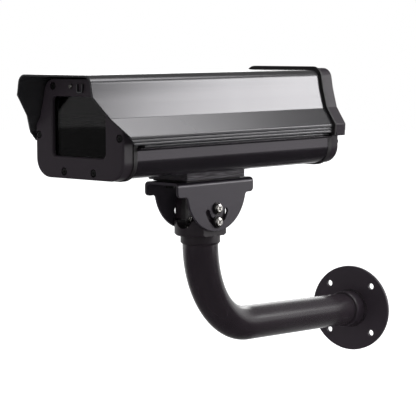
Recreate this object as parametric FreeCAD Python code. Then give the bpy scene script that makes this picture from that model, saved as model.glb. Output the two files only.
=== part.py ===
import FreeCAD, Part
import math
import os

from FreeCAD import Placement, Rotation, Vector

# Security camera housing on a bent wall arm, in millimetres.
#
# While the pieces are made, X is the tilt axis and Z the pan axis of the arm's head, and both
# pass through the pivot bolts at 0, 0, 0. The window looks along -Y. At the end everything is
# shifted so that the origin is the centre of the wall flange's back face.

# Half widths of the lid, caps, window and rails are given by how far they lie outside (out) or
# inside (in) the tray's side, so the whole housing grows with tray_half_width.

# Lid: one extruded aluminium section whose front end runs on as a sun hood.
lid_crease_out = 10.9       # widest crease, outside the tray's side
lid_shoulder_in = 1.5       # steep side meets flare, inside the tray's side
lid_bend_in = 7.6           # slight bend in the steep side
lid_top_in = 11.1           # corner of the flat top, before rounding
lip_out = 10.3              # bottom of the lip
lip_height = 9.0
flare_height = 18.4
lower_side_height = 21.9
upper_side_height = 21.5
lid_wall = 2.0
top_corner_radius = 10.0
side_bend_radius = 120.0
crease_radius = 1.5
lip_groove_radius = 0.9
lip_groove_heights = (2.4, 5.6)     # above the lip's bottom
lip_groove_out = 0.1        # the groove's circle has its centre this far outside the crease
hood_reach = 217.9          # from the pan axis to the hood's front edge
hood_slope = 0.84           # how far the hood's cut runs back for each millimetre down
lid_rear = 142.8            # from the pan axis to the extrusion's rear end

# Tray: the extruded lower half that the lid closes.
tray_half_width = 64.1
tray_height = 32.2          # bottom to the seam under the lid
tray_corner_radius = 19.5
tray_wall = 2.1
tray_front = 165.0
tray_rear = 146.7
upstand_height = 14.9       # the tray's wall runs on above the seam, inside the lid
seam_gap = 4.0              # seam to the bottom of the lid's lip
shelf_width = 8.0
shelf_thickness = 1.6
port_radius = 4.0           # round screw channels along the extrusions
port_hole_radius = 1.9
port_sink = 0.1             # a floor channel's circle sinks this far into the sheet
roof_port_sink = 0.3
floor_port_half = 21.8
shelf_port_in = 4.1
side_port_in = 5.7
side_port_height = 24.6
roof_port_in = 22.1
flare_port_in = 2.5
flare_port_height = 20.6
rail_in = 24.1              # two rails on the tray's floor carry the camera plate
rail_width = 8.0
rail_height = 8.5

# Hinge: a round bead along the lid's inner web turns in a groove along the tray's near edge.
hinge_out = 2.4             # outside the tray's side
hinge_below_lip = 2.0
bead_radius = 2.5
hinge_clearance = 0.05
groove_wall = 2.0
groove_opens_from = -28.0
groove_opens_to = 120.0
web_thickness = 1.6
seal_rib_thickness = 2.0
seal_rib_in = 7.1
rib_relief = 8.0            # the ribs are milled away behind the front cap over this length
seal_height = 2.2
seal_gap = 0.3
seal_side_gap = 0.5

# Closing side: screws through a ledge on the tray pull the lid's foot down.
ledge_out = 8.1             # outside the tray's side
ledge_thickness = 2.5
foot_thickness = 3.0
foot_gap = 2.0
closing_web_out = 1.7
closing_screw_out = 4.7
closing_screw_radius = 1.95
closing_head_radius = 3.5
closing_head_height = 4.0
closing_washer_radius = 3.2
closing_screw_places = (-118.0, 96.0)

# Front: moulded cap with the window, and its rubber gasket.
cap_face = 184.8            # from the pan axis to the cap's front face
cap_back = 170.2
cap_out = 0.9               # outside the tray's side
cap_drop = 1.4              # the cap hangs this far below the tray's bottom
cap_corner_radius = 20.0
cap_lid_gap = 3.0
cap_top_corner_radius = 16.0
cap_side_radius = 4.0
cap_wall = 3.0
cap_face_thickness = 4.0
cap_front_edge_radius = 2.5
gasket_proud = 1.0
front_gasket_wall = 8.0
window_in = 24.7            # inside the tray's side
window_bottom = 21.8        # above the tray's bottom
window_below_cap_top = 18.0
window_corner_radius = 5.0
window_bevel = 1.2
glass_margin = 4.0
glass_thickness = 3.0
glass_gasket_thickness = 1.0
glass_gasket_width = 3.5
glass_gasket_set_back = 0.4
frame_thickness = 3.0
frame_margin = 6.0
frame_gap = 0.5
frame_lap = 0.5             # the frame's opening is this much smaller than the window all round
frame_top_corner_radius = 15.0
frame_post_radius = 3.1
recess_radius = 4.3
recess_depth = 2.0
cap_boss_radius = 5.5
upper_recess_in = 26.4
upper_recess_below_cap_top = 7.3
clip_half_width = 4.4
clip_place = 4.6
clip_thickness = 1.2
clip_depth = 2.4
clip_bend = 2.5
clip_height = 9.0
clip_low_below_cap_top = 14.0
clip_screw_place = -10.2
clip_screw_below_cap_top = 7.6

# Rear: caps and gaskets on the lid and on the tray.
lid_gasket_end = 145.3
lid_cap_end = 164.0
lid_gasket_proud = 3.0
lid_gasket_top_proud = 4.0
lid_cap_proud = 2.0         # the cap is this much larger than the lid, top and sides
lid_cap_bottom_drop = 3.8   # below the lid's lip
lid_cap_floor_gap = 0.8     # from the tray's end to the cap's lower part
tray_gasket_end = 152.6
tray_gasket_proud = 0.3
tray_gasket_bottom_proud = 2.0
tray_cap_end = 167.4
rear_cap_wall = 3.0
rear_cap_edge_radius = 4.0
lid_cap_edge_radius = 2.0
rear_cap_seam = 0.4         # below the seam
gland_half_spacing = 36.0
gland_height = 17.0         # above the tray's bottom
gland_thread_radius = 8.0
gland_hole_clearance = 0.15
gland_hex = 22.0
gland_flange_thickness = 4.0
gland_neck_radius = 7.4
gland_neck_length = 7.5
gland_nut_hex = 21.0
gland_nut_length = 9.5
gland_nut_base_radius = 10.2
gland_nut_nose = 4.0
gland_nut_nose_radius = 7.6
gland_locknut_hex = 20.0
gland_locknut_thickness = 4.0
gland_mouth_radius = 5.0
gland_nut_mouth_radius = 5.4
gland_plug_set_back = 1.0

# Inside: camera plate on the tray's rails.
plate_past_rail = 6.0
plate_front = 142.0
plate_rear = 124.0
plate_thickness = 2.5
plate_corner_radius = 6.0
plate_slot_width = 7.0
plate_slot_front = 100.0
plate_slot_rear = 70.0
tie_slot_half = 24.0
tie_slot_width = 4.0
tie_slot_length = 24.0
tie_slot_starts = (-110.0, -30.0, 60.0)
plate_screw_places = (-122.0, 104.0)
plate_screw_grip = 5.0
camera_screw_radius = 3.15
camera_screw_place = -20.0
camera_screw_stand = 8.0
camera_knob_radius = 8.0
camera_knob_height = 3.5
knob_slot_width = 1.6
knob_slot_depth = 1.0
fibre_washer_thickness = 0.8

# Yoke: folded sheet with a slotted cheek on each side, under a pad and an adaptor block.
yoke_rise = 31.4            # tilt axis to the top of the yoke
yoke_half_width = 25.1
yoke_sheet = 3.0
yoke_bend_radius = 5.0
yoke_front = 62.0
yoke_rear = 61.0
yoke_ear_bottom = 15.2
yoke_ear_radius = 5.0
cheek_radius = 47.9
cheek_centre_height = 22.6
cheek_centre_place = 0.6
cheek_fillet = 4.0
tilt_slot_radius = 15.2
tilt_slot_width = 6.8
tilt_slot_half_angle = 76.0
adaptor_half_width = 29.2
adaptor_front = 52.6
adaptor_rear = 42.0
adaptor_thickness = 10.3
adaptor_edge = 0.8
adaptor_screw_half = 12.0
adaptor_screw_places = (-36.0, 34.0)
adaptor_screw_spare = 0.5
pad_thickness = 1.6         # pad between the block and the yoke
pad_margin = 4.0            # the pad is this much smaller than the block all round

# Head: the casting that pans on the arm and holds the tilt bolts.
cup_radius = 28.8
cup_bottom = 31.0           # below the tilt axis
cup_top = 13.5
cup_flat_half = 22.0
cup_bore_radius = 16.5
cup_edge = 2.0
lug_radius = 17.0
lug_gap_half = 14.0         # the lugs stand this far from the middle
notch_half_width = 12.5
notch_bottom = 22.0
collar_wall = 2.1
collar_length = 9.9
collar_chamfer = 2.0
pipe_seat = 24.0            # below the tilt axis
pipe_seat_gap = 0.1
pipe_clearance = 0.05

# Arm: bent steel tube with a welded wall flange, turned aside from the housing.
arm_pan = 9.31              # degrees
pipe_radius = 20.0
pipe_wall = 2.0
bend_radius = 102.6
bend_angle = 86.3
bend_squash = 0.90          # height of the tube in mid-bend, as a share of its width
bend_rings = 9
arm_reach = 350.0           # pan axis to the flange's front face
flange_radius = 54.3
flange_thickness = 5.0
flange_edge = 0.8
flange_hole_circle = 85.0
flange_hole_count = 4
flange_hole_radius = 4.0
flange_bore_radius = 17.5
hub_radius = 22.4           # sleeve on the plate that the arm is welded into
hub_length = 20.0
hub_edge = 0.8

# Fasteners.
m6_radius = 3.0
m6_head_radius = 6.0
m6_head_height = 3.4
m6_washer_radius = 7.0
m6_washer_thickness = 1.2
nut_washer_radius = 6.0
m6_nut_width = 10.0
m6_nut_height = 5.0
m6_socket_head_radius = 5.0
m6_socket_head_height = 5.5
m4_radius = 1.85
m4_head_radius = 3.6
m4_head_height = 2.4
m4_low_head_height = 1.8
m3_radius = 1.5
m3_head_radius = 2.8
m3_head_height = 1.8
hole_clearance = 0.25
thread_clearance = 0.05
grub_radius = 3.0
grub_length = 6.0
grub_gap = 0.3
grub_socket = 3.0           # across its flats, and as deep
grub_angles = (55.0, 125.0)

screw_end_spare = 1.5       # a screw's end stands this far past what it holds
channel_grip = 8.0          # how deep a screw goes into a screw channel
crown_share = 0.5           # share of a pan head's height that narrows
crown_top_share = 0.72      # share of the head's radius left at its top
socket_share = 0.55         # depth of a hexagon socket, as a share of its head's height

# Cutters.
past = 1.0                  # a cutter runs this far past a face
open_side = -20.0           # an open side of a hollow section lies this far outside
far_out = 999.0             # a cutter that spans the whole part
match = 0.01                # places closer than this count as the same

# Places worked out from the sizes above, measured from the tilt axis.
lid_half_width = tray_half_width + lid_crease_out
lid_shoulder_half = tray_half_width - lid_shoulder_in
lid_bend_half = tray_half_width - lid_bend_in
lid_top_half = tray_half_width - lid_top_in
lip_half_width = tray_half_width + lip_out
cap_half_width = tray_half_width + cap_out
shelf_port_half = tray_half_width - shelf_port_in
side_port_half = tray_half_width - side_port_in
roof_port_half = tray_half_width - roof_port_in
flare_port_half = tray_half_width - flare_port_in
hinge_half = tray_half_width + hinge_out
seal_rib_inner_half = tray_half_width - seal_rib_in
ledge_half = tray_half_width + ledge_out
closing_web_half = tray_half_width + closing_web_out
closing_screw_half = tray_half_width + closing_screw_out
upper_recess_half = tray_half_width - upper_recess_in
window_half_width = tray_half_width - window_in
rail_half = tray_half_width - rail_in
plate_half_width = rail_half + plate_past_rail
block_bottom = yoke_rise + pad_thickness
tray_bottom = block_bottom + adaptor_thickness
tray_floor = tray_bottom + tray_wall
seam = tray_bottom + tray_height
lip_bottom = seam + seam_gap
crease = lip_bottom + lip_height
shoulder = crease + flare_height
kink = shoulder + lower_side_height
lid_top = kink + upper_side_height
upstand_top = seam + upstand_height
cap_top = lid_top - lid_wall - cap_lid_gap
hinge_height = lip_bottom - hinge_below_lip
groove_radius = bead_radius + hinge_clearance
groove_outer = groove_radius + groove_wall
shelf_port_height = upstand_top - port_radius
floor_port_height = tray_floor + port_radius - port_sink
roof_port_height = lid_top - lid_wall - port_radius + roof_port_sink
rib_start = -(tray_front - rib_relief)
rail_top = tray_floor + rail_height
pipe_start = cup_bottom + collar_length
bend_rad = math.radians(bend_angle)
flat_head_height = m4_head_radius - m4_radius


def at_y(y):
    """Turns an (x, z) pair into a point on the plane across the housing at y."""
    return lambda a, b: Vector(a, y, b)


def at_x(x):
    """Turns a (y, z) pair into a point on the plane along the housing at x."""
    return lambda a, b: Vector(x, a, b)


def at_z(z):
    """Turns an (x, y) pair into a point on the level plane at z."""
    return lambda a, b: Vector(a, b, z)


def outline(points, lift):
    """Closed wire through (a, b, radius) corners, each rounded by its radius."""
    count = len(points)
    corners = []
    for i, (a, b, radius) in enumerate(points):
        here = Vector(a, b, 0)
        if radius <= 0:
            corners.append((here, None, here))
            continue
        back = (Vector(*points[i - 1][:2], 0) - here).normalize()
        ahead = (Vector(*points[(i + 1) % count][:2], 0) - here).normalize()
        half = back.getAngle(ahead) / 2
        run = radius / math.tan(half)
        middle = here + (back + ahead).normalize() * (radius / math.sin(half) - radius)
        corners.append((here + back * run, middle, here + ahead * run))
    edges = []
    for i, (first, middle, last) in enumerate(corners):
        if middle is not None:
            three = [lift(p.x, p.y) for p in (first, middle, last)]
            edges.append(Part.Arc(*three).toShape())
        start = lift(last.x, last.y)
        end = lift(corners[(i + 1) % count][0].x, corners[(i + 1) % count][0].y)
        if start.distanceToPoint(end) > 1e-6:
            edges.append(Part.LineSegment(start, end).toShape())
    return Part.Wire(edges)


def inset(points, walls):
    """Moves each side of a counterclockwise outline inwards by its wall."""
    count = len(points)
    if not isinstance(walls, (list, tuple)):
        walls = [walls] * count
    sides = []
    for i in range(count):
        start = Vector(*points[i][:2], 0)
        along = (Vector(*points[(i + 1) % count][:2], 0) - start).normalize()
        sides.append((start + Vector(-along.y, along.x, 0) * walls[i], along))
    moved = []
    for i in range(count):
        start, along = sides[i - 1]
        other, across = sides[i]
        turn = along.x * across.y - along.y * across.x
        step = ((other.x - start.x) * across.y - (other.y - start.y) * across.x) / turn
        corner = start + along * step
        radius = points[i][2]
        if radius > 0:
            change = min(walls[i - 1], walls[i])
            radius = max(radius - change, 0.2) if turn > 0 else max(radius + change, 0.2)
        moved.append((corner.x, corner.y, radius))
    return moved


def along_y(points, start, end):
    """Solid with an (x, z) outline from one y to another."""
    return Part.Face(outline(points, at_y(start))).extrude(Vector(0, end - start, 0))


def along_x(points, start, end):
    """Solid with a (y, z) outline from one x to another."""
    return Part.Face(outline(points, at_x(start))).extrude(Vector(end - start, 0, 0))


def along_z(points, start, end):
    """Solid with an (x, y) outline from one z to another."""
    return Part.Face(outline(points, at_z(start))).extrude(Vector(0, 0, end - start))


def mirrored(half):
    """Completes a counterclockwise outline from its +X half, bottom to top."""
    return half + [(-a, b, r) for a, b, r in reversed(half)]


def block(x0, x1, y0, y1, z0, z1):
    """Box between two corners."""
    return Part.makeBox(x1 - x0, y1 - y0, z1 - z0, Vector(x0, y0, z0))


def rod_y(radius, x, z, y0, y1):
    """Cylinder that runs along Y."""
    return Part.makeCylinder(radius, y1 - y0, Vector(x, y0, z), Vector(0, 1, 0))


def rod_x(radius, y, z, x0, x1):
    """Cylinder that runs along X."""
    return Part.makeCylinder(radius, x1 - x0, Vector(x0, y, z), Vector(1, 0, 0))


def rod_z(radius, x, y, z0, z1):
    """Cylinder that runs along Z."""
    return Part.makeCylinder(radius, z1 - z0, Vector(x, y, z0))


def joined(shapes):
    """Fuses shapes that touch into one solid."""
    first, *rest = shapes
    return first.fuse(rest).removeSplitter() if rest else first


def group(shapes):
    """Keeps shapes that stand apart as separate solids of one piece."""
    return Part.makeCompound(shapes)


def moved_to(shape, place, direction):
    """Carries a shape made along +Z to a place, with its axis along a direction."""
    copy = shape.copy()
    copy.Placement = Placement(Vector(*place), Rotation(Vector(0, 0, 1), Vector(*direction)))
    return copy


def hexagon(width, height):
    """Six-sided prism on the origin, measured across its flats."""
    corner = width / 2 / math.cos(math.radians(30))
    points = [(corner * math.cos(math.radians(60 * k)), corner * math.sin(math.radians(60 * k)), 0)
              for k in range(6)]
    return along_z(points, 0, height)


def pan_screw(radius, length, head_radius, head_height):
    """Screw whose low head narrows towards its top: seat at 0, head up, shank down."""
    edge = head_height * (1 - crown_share)
    head = rod_z(head_radius, 0, 0, 0, edge)
    crown = Part.makeCone(head_radius, head_radius * crown_top_share, head_height - edge, Vector(0, 0, edge))
    return joined([rod_z(radius, 0, 0, -length, 0), head, crown])


def flat_screw(radius, length, head_radius, head_height):
    """Countersunk screw: top of the head at 0, shank down."""
    head = Part.makeCone(radius, head_radius, head_height, Vector(0, 0, -head_height))
    return joined([rod_z(radius, 0, 0, -length, -head_height), head])


def socket_screw(radius, length, head_radius, head_height):
    """Cap screw with a hexagon socket: seat at 0, head up, shank down."""
    body = rod_z(head_radius, 0, 0, 0, head_height).fuse(rod_z(radius, 0, 0, -length, 0))
    body = body.removeSplitter()
    socket = hexagon(head_radius, head_height)
    socket.translate(Vector(0, 0, head_height * (1 - socket_share)))
    return body.cut(socket)


def washer(inner, outer, thickness):
    """Flat ring on the origin."""
    return rod_z(outer, 0, 0, 0, thickness).cut(rod_z(inner, 0, 0, -past, thickness + past))


def ported(shape, places, start, end):
    """Bores the screw channels along a piece."""
    holes = [rod_y(port_hole_radius, x, z, start - past, end + past) for x, z in places]
    return shape.cut(holes)


def lid_points():
    """Outer section of the lid, counterclockwise from the near lip's bottom."""
    return mirrored([
        (lip_half_width, lip_bottom, 0),
        (lid_half_width, crease, crease_radius),
        (lid_shoulder_half, shoulder, crease_radius),
        (lid_bend_half, kink, side_bend_radius),
        (lid_top_half, lid_top, top_corner_radius),
    ])


def lid_inner_points(extra):
    """Inner section of the lid, open at the bottom, with a further gap all round."""
    walls = [lid_wall + extra] * 9 + [open_side]
    return inset(lid_points(), walls)


def roof_ports():
    """Screw channels of the lid, two under the roof and two in the flare."""
    flare = lip_bottom + flare_port_height
    return [(side * roof_port_half, roof_port_height) for side in (1, -1)] + \
           [(side * flare_port_half, flare) for side in (1, -1)]


def lid():
    """Extruded lid with hood, hinge bead, seal ribs, screw channels and closing foot."""
    outer = along_y(lid_points(), -hood_reach, lid_rear)
    shell = outer.cut(along_y(lid_inner_points(0), -hood_reach - past, lid_rear + past))
    half_web = web_thickness / 2
    rib_bottom = upstand_top + seal_height + seal_gap
    rib_top = rib_bottom + seal_rib_thickness
    foot_bottom = seam + ledge_thickness + foot_gap
    inside = []
    for web in (hinge_half, -closing_web_half):
        inside.append(block(web - half_web, web + half_web, rib_start, lid_rear, foot_bottom, shoulder))
        rib = sorted((math.copysign(seal_rib_inner_half, web), web))
        inside.append(block(*rib, rib_start, lid_rear, rib_bottom, rib_top))
    inside.append(block(-lip_half_width, -closing_web_half, rib_start, lid_rear,
                        foot_bottom, foot_bottom + foot_thickness))
    inside += [rod_y(port_radius, x, z, rib_start, lid_rear) for x, z in roof_ports()]
    ribs = inside[0].fuse(inside[1:]).common(outer)
    bead = rod_y(bead_radius, hinge_half, hinge_height, rib_start, lid_rear)
    neck = block(hinge_half - half_web, hinge_half + half_web, rib_start, lid_rear,
                 hinge_height, foot_bottom + past)
    body = joined([shell, ribs, bead, neck])
    low = lip_bottom - past
    back = (kink - low) * hood_slope
    front_cut = [(-hood_reach - past, kink, 0), (-hood_reach - past, low, 0),
                 (-hood_reach + back, low, 0), (-hood_reach, kink, 0)]
    body = body.cut(along_x(front_cut, -lid_half_width - past, lid_half_width + past))
    grooves = [rod_y(lip_groove_radius, side * (lid_half_width + lip_groove_out), lip_bottom + up,
                     -hood_reach, lid_rear + past)
               for side in (1, -1) for up in lip_groove_heights]
    holes = [rod_z(closing_screw_radius + hole_clearance, -closing_screw_half, y,
                   foot_bottom - past, foot_bottom + foot_thickness + past)
             for y in closing_screw_places]
    return ported(body.cut(grooves + holes), roof_ports(), rib_start, lid_rear)


def lid_rear_gasket():
    """Rubber frame between the lid's end and its rear cap, standing a little proud."""
    beside = [-lid_gasket_proud] * 4
    walls = beside + [-lid_gasket_top_proud] + beside + [-lid_gasket_proud]
    outer = along_y(inset(lid_points(), walls), lid_rear, lid_gasket_end)
    hole = inset(lid_points(), [lid_wall] * 9 + [open_side])
    return outer.cut(along_y(hole, lid_rear - past, lid_gasket_end + past))


def lid_cap_points():
    """Outer section of the lid's rear cap: the lid's own section, a little larger."""
    return inset(lid_points(), [-lid_cap_proud] * 9 + [-lid_cap_bottom_drop])


def lid_rear_cap():
    """Moulded dish that closes the lid's rear end."""
    body = along_y(lid_cap_points(), lid_gasket_end, lid_cap_end)
    rim = [e for e in body.Edges if min(v.Y for v in e.Vertexes) > lid_cap_end - match]
    body = body.makeFillet(lid_cap_edge_radius, rim)
    pocket = along_y(inset(lid_cap_points(), rear_cap_wall), lid_gasket_end - past,
                     lid_cap_end - rear_cap_wall)
    bosses = [rod_y(port_radius, x, z, lid_gasket_end, lid_cap_end - rear_cap_wall / 2).common(body)
              for x, z in roof_ports()]
    body = joined([body.cut(pocket)] + bosses)
    over_tray = block(-far_out, far_out, -far_out, tray_rear + lid_cap_floor_gap, -far_out, lip_bottom)
    holes = [rod_y(m4_radius + hole_clearance, x, z, lid_gasket_end - past, lid_cap_end + past)
             for x, z in roof_ports()]
    return body.cut([over_tray] + holes)


def lid_rear_screws():
    """Four screws through the lid's rear cap into the screw channels."""
    length = lid_cap_end - lid_rear + channel_grip
    one = pan_screw(m4_radius - thread_clearance, length, m4_head_radius, m4_head_height)
    return group([moved_to(one, (x, lid_cap_end, z), (0, 1, 0)) for x, z in roof_ports()])


def tray_points():
    """Outer section of the tray, counterclockwise from its far bottom corner."""
    return [(-tray_half_width, tray_bottom, tray_corner_radius),
            (tray_half_width, tray_bottom, tray_corner_radius),
            (tray_half_width, upstand_top, 0),
            (-tray_half_width, upstand_top, 0)]


def tray_ports():
    """Screw channels of the tray: floor, shelf and side, near and far."""
    rows = ((floor_port_half, floor_port_height), (shelf_port_half, shelf_port_height),
            (side_port_half, tray_bottom + side_port_height))
    return [(side * x, z) for x, z in rows for side in (1, -1)]


def hinge_groove():
    """Open round groove that holds the lid's bead."""
    ring = rod_y(groove_outer, hinge_half, hinge_height, -tray_front, tray_rear)
    reach = groove_outer * 3
    angles = (groove_opens_from, (groove_opens_from + groove_opens_to) / 2, groove_opens_to)
    mouth = [(hinge_half, hinge_height, 0)]
    for angle in angles:
        turn = math.radians(angle)
        mouth.append((hinge_half + reach * math.cos(turn), hinge_height + reach * math.sin(turn), 0))
    return ring.cut(along_y(mouth, -tray_front - past, tray_rear + past))


def tray():
    """Extruded tray with hinge groove, closing ledge, seal shelves and camera rails."""
    outer = along_y(tray_points(), -tray_front, tray_rear)
    hollow = inset(tray_points(), [tray_wall, tray_wall, open_side, tray_wall])
    shell = outer.cut(along_y(hollow, -tray_front - past, tray_rear + past))
    inside = [rod_y(port_radius, x, z, -tray_front, tray_rear) for x, z in tray_ports()]
    for side in (1, -1):
        shelf = sorted((side * (tray_half_width - shelf_width), side * tray_half_width))
        inside.append(block(*shelf, -tray_front, tray_rear, upstand_top - shelf_thickness, upstand_top))
        rail = sorted((side * (rail_half - rail_width / 2), side * (rail_half + rail_width / 2)))
        inside.append(block(*rail, -tray_front + rib_relief, tray_rear - rib_relief,
                            tray_bottom + tray_wall / 2, rail_top))
    parts = [piece.common(outer) for piece in inside]
    ledge = block(-ledge_half, -tray_half_width + tray_wall / 2, -tray_front, tray_rear,
                  seam, seam + ledge_thickness)
    body = joined([shell, hinge_groove(), ledge] + parts)
    body = body.cut(rod_y(groove_radius, hinge_half, hinge_height, -tray_front - past, tray_rear + past))
    holes = [rod_z(closing_screw_radius + hole_clearance, -closing_screw_half, y,
                   seam - past, seam + ledge_thickness + past) for y in closing_screw_places]
    holes += adaptor_holes(tray_bottom, tray_floor)
    holes += [rod_z(m4_radius, side * rail_half, y, tray_floor + past, rail_top + past)
              for side in (1, -1) for y in plate_screw_places]
    return ported(body.cut(holes), tray_ports(), -tray_front, tray_rear)


def side_seals():
    """Rubber strips on the tray's shelves that the lid's ribs press on."""
    inner = tray_half_width - shelf_width + seal_side_gap
    outer = tray_half_width - tray_wall / 2
    return group([block(*sorted((side * inner, side * outer)), rib_start + seal_side_gap,
                        tray_rear - seal_side_gap, upstand_top, upstand_top + seal_height)
                  for side in (1, -1)])


def closing_screws():
    """Screws that go up through the tray's ledge into the lid's foot."""
    length = ledge_thickness + foot_gap + foot_thickness + screw_end_spare
    one = socket_screw(closing_screw_radius, length, closing_head_radius, closing_head_height)
    return group([moved_to(one, (-closing_screw_half, y, seam), (0, 0, -1))
                  for y in closing_screw_places])


def closing_washers():
    """Rubber washers that keep the closing screws on the ledge."""
    one = washer(closing_screw_radius + thread_clearance, closing_washer_radius, foot_gap - seal_gap)
    return group([moved_to(one, (-closing_screw_half, y, seam + ledge_thickness), (0, 0, 1))
                  for y in closing_screw_places])


def cap_points():
    """Outline of the front cap: upright sides up to the lid's flare, then along the lid's inside."""
    _, crease_corner, side, bend, top = lid_inner_points(cap_lid_gap)[:5]
    share = (crease_corner[0] - cap_half_width) / (crease_corner[0] - side[0])
    turn = crease_corner[1] + share * (side[1] - crease_corner[1])
    return mirrored([
        (cap_half_width, tray_bottom - cap_drop, cap_corner_radius),
        (cap_half_width, turn, 0),
        (side[0], side[1], cap_side_radius),
        (bend[0], bend[1], 0),
        (top[0], top[1], cap_top_corner_radius),
    ])


def cap_top_corner(points):
    """Place of the upper near corner in an outline made from the front cap's."""
    half = len(points) // 2
    return points[half - 1][:2]


def window_points(margin):
    """Outline of the window opening, grown by a margin."""
    low = tray_bottom + window_bottom - margin
    high = cap_top - window_below_cap_top + margin
    half = window_half_width + margin
    radius = window_corner_radius + max(margin, 0)
    return mirrored([(half, low, radius), (half, high, radius)])


def cap_screw_places():
    """Places of the four screws that fix the front cap to the tray."""
    return [(side * x, z) for x, z in ((floor_port_half, floor_port_height),
                                       (shelf_port_half, shelf_port_height)) for side in (1, -1)]


def frame_screw_places():
    """Places of the two screws that pull the window frame against the cap."""
    return [(side * upper_recess_half, cap_top - upper_recess_below_cap_top) for side in (1, -1)]


def front_cap():
    """Moulded front cap with the window, screw recesses and a hollow back."""
    body = along_y(cap_points(), -cap_face, -cap_back)
    rim = [e for e in body.Edges if max(v.Y for v in e.Vertexes) < -cap_face + match
           and max(v.Z for v in e.Vertexes) < cap_points()[1][1] + match]
    body = body.makeFillet(cap_front_edge_radius, rim)
    pocket = along_y(inset(cap_points(), cap_wall), -cap_face + cap_face_thickness, -cap_back + past)
    spots = cap_screw_places() + frame_screw_places()
    bosses = [rod_y(cap_boss_radius, x, z, -cap_face + cap_face_thickness / 2, -cap_back).common(body)
              for x, z in cap_screw_places()]
    body = joined([body.cut(pocket)] + bosses)
    front_bevel = Part.makeLoft([outline(window_points(window_bevel), at_y(-cap_face - match)),
                                 outline(window_points(0), at_y(-cap_face + window_bevel))], True)
    before = -cap_face - past
    opening = along_y(window_points(0), before, -cap_face + cap_face_thickness + past)
    recesses = [rod_y(recess_radius, x, z, before, -cap_face + recess_depth) for x, z in spots]
    holes = [rod_y(m4_radius + hole_clearance, x, z, before, -cap_back + past) for x, z in spots]
    clip_hole = rod_y(m3_radius, clip_screw_place, cap_top - clip_screw_below_cap_top,
                      before, -cap_face + cap_face_thickness + past)
    return body.cut([front_bevel, opening, clip_hole] + recesses + holes)


def front_cap_screws():
    """Four screws through the front cap into the tray's screw channels."""
    seat = -cap_face + recess_depth
    length = -tray_front - seat + channel_grip
    one = pan_screw(m4_radius - thread_clearance, length, m4_head_radius, m4_low_head_height)
    return group([moved_to(one, (x, seat, z), (0, -1, 0)) for x, z in cap_screw_places()])


def front_gasket():
    """Rubber frame between the front cap and the tray, standing a little proud below."""
    points = cap_points()
    lower_sides = (0, len(points) - 2, len(points) - 1)
    walls = [-gasket_proud if k in lower_sides else 0.0 for k in range(len(points))]
    outer = along_y(inset(points, walls), -cap_back, -tray_front)
    half = cap_half_width - front_gasket_wall
    top_half, top = cap_top_corner(points)
    opening = mirrored([
        (half, points[0][1] + front_gasket_wall, cap_corner_radius - front_gasket_wall),
        (half, upstand_top, 0),
        (top_half - front_gasket_wall, top - front_gasket_wall, cap_top_corner_radius - front_gasket_wall),
    ])
    hole = along_y(opening, -cap_back - past, -tray_front + past)
    holes = [rod_y(m4_radius + hole_clearance, x, z, -cap_back - past, -tray_front + past)
             for x, z in cap_screw_places()]
    return outer.cut([hole] + holes)


def window_gasket():
    """Thin rubber ring between the cap and the glass."""
    back = -cap_face + cap_face_thickness
    ring = along_y(window_points(glass_gasket_width), back, back + glass_gasket_thickness)
    return ring.cut(along_y(window_points(glass_gasket_set_back), back - past,
                            back + glass_gasket_thickness + past))


def window_glass():
    """Flat glass behind the cap's face."""
    front = -cap_face + cap_face_thickness + glass_gasket_thickness
    return along_y(window_points(glass_margin), front, front + glass_thickness)


def window_frame():
    """Frame that holds the glass from behind, with its upper band screwed to the cap."""
    back = -cap_face + cap_face_thickness + glass_gasket_thickness + glass_thickness
    face = -cap_face + cap_face_thickness
    grown = window_points(frame_margin)[0]
    inner_top = cap_top_corner(inset(cap_points(), cap_wall + frame_gap))
    shape = mirrored([grown, (*inner_top, frame_top_corner_radius)])
    body = along_y(shape, back, back + frame_thickness)
    body = body.cut(along_y(window_points(-frame_lap), back - past, back + frame_thickness + past))
    posts = [rod_y(frame_post_radius, x, z, face, back + frame_thickness)
             for x, z in frame_screw_places()]
    body = joined([body] + posts)
    holes = [rod_y(m4_radius, x, z, face - past, back + frame_thickness + past)
             for x, z in frame_screw_places()]
    return body.cut(holes)


def window_frame_screws():
    """Two screws from the cap's upper recesses into the window frame."""
    seat = -cap_face + recess_depth
    length = cap_face_thickness - recess_depth + glass_gasket_thickness + glass_thickness + screw_end_spare
    one = pan_screw(m4_radius - thread_clearance, length, m4_head_radius, m4_low_head_height)
    return group([moved_to(one, (x, seat, z), (0, -1, 0)) for x, z in frame_screw_places()])


def hood_clip():
    """Small bent U of sheet on the cap's face, up under the hood."""
    low = cap_top - clip_low_below_cap_top
    x0 = clip_place - clip_half_width
    x1 = clip_place + clip_half_width
    outer = [(x0, low, clip_bend), (x1, low, clip_bend), (x1, low + clip_height, 0), (x0, low + clip_height, 0)]
    body = along_y(outer, -cap_face - clip_depth, -cap_face)
    inner = inset(outer, [clip_thickness, clip_thickness, open_side, clip_thickness])
    return body.cut(along_y(inner, -cap_face - clip_depth - past, -cap_face + past))


def hood_clip_screw():
    """Bright screw beside the clip."""
    one = pan_screw(m3_radius - thread_clearance, cap_face_thickness, m3_head_radius, m3_head_height)
    return moved_to(one, (clip_screw_place, -cap_face, cap_top - clip_screw_below_cap_top), (0, -1, 0))


def tray_cap_points(beside, below):
    """Outline of the tray's rear cap and gasket, under the seam, grown at the sides and below."""
    return inset([(-tray_half_width, tray_bottom, tray_corner_radius),
                  (tray_half_width, tray_bottom, tray_corner_radius),
                  (tray_half_width, seam - rear_cap_seam, 0),
                  (-tray_half_width, seam - rear_cap_seam, 0)], [-below, -beside, 0.0, -beside])


def tray_rear_places():
    """Places of the screws through the tray's rear cap."""
    rows = ((floor_port_half, floor_port_height), (side_port_half, tray_bottom + side_port_height))
    return [(side * x, z) for x, z in rows for side in (1, -1)]


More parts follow.
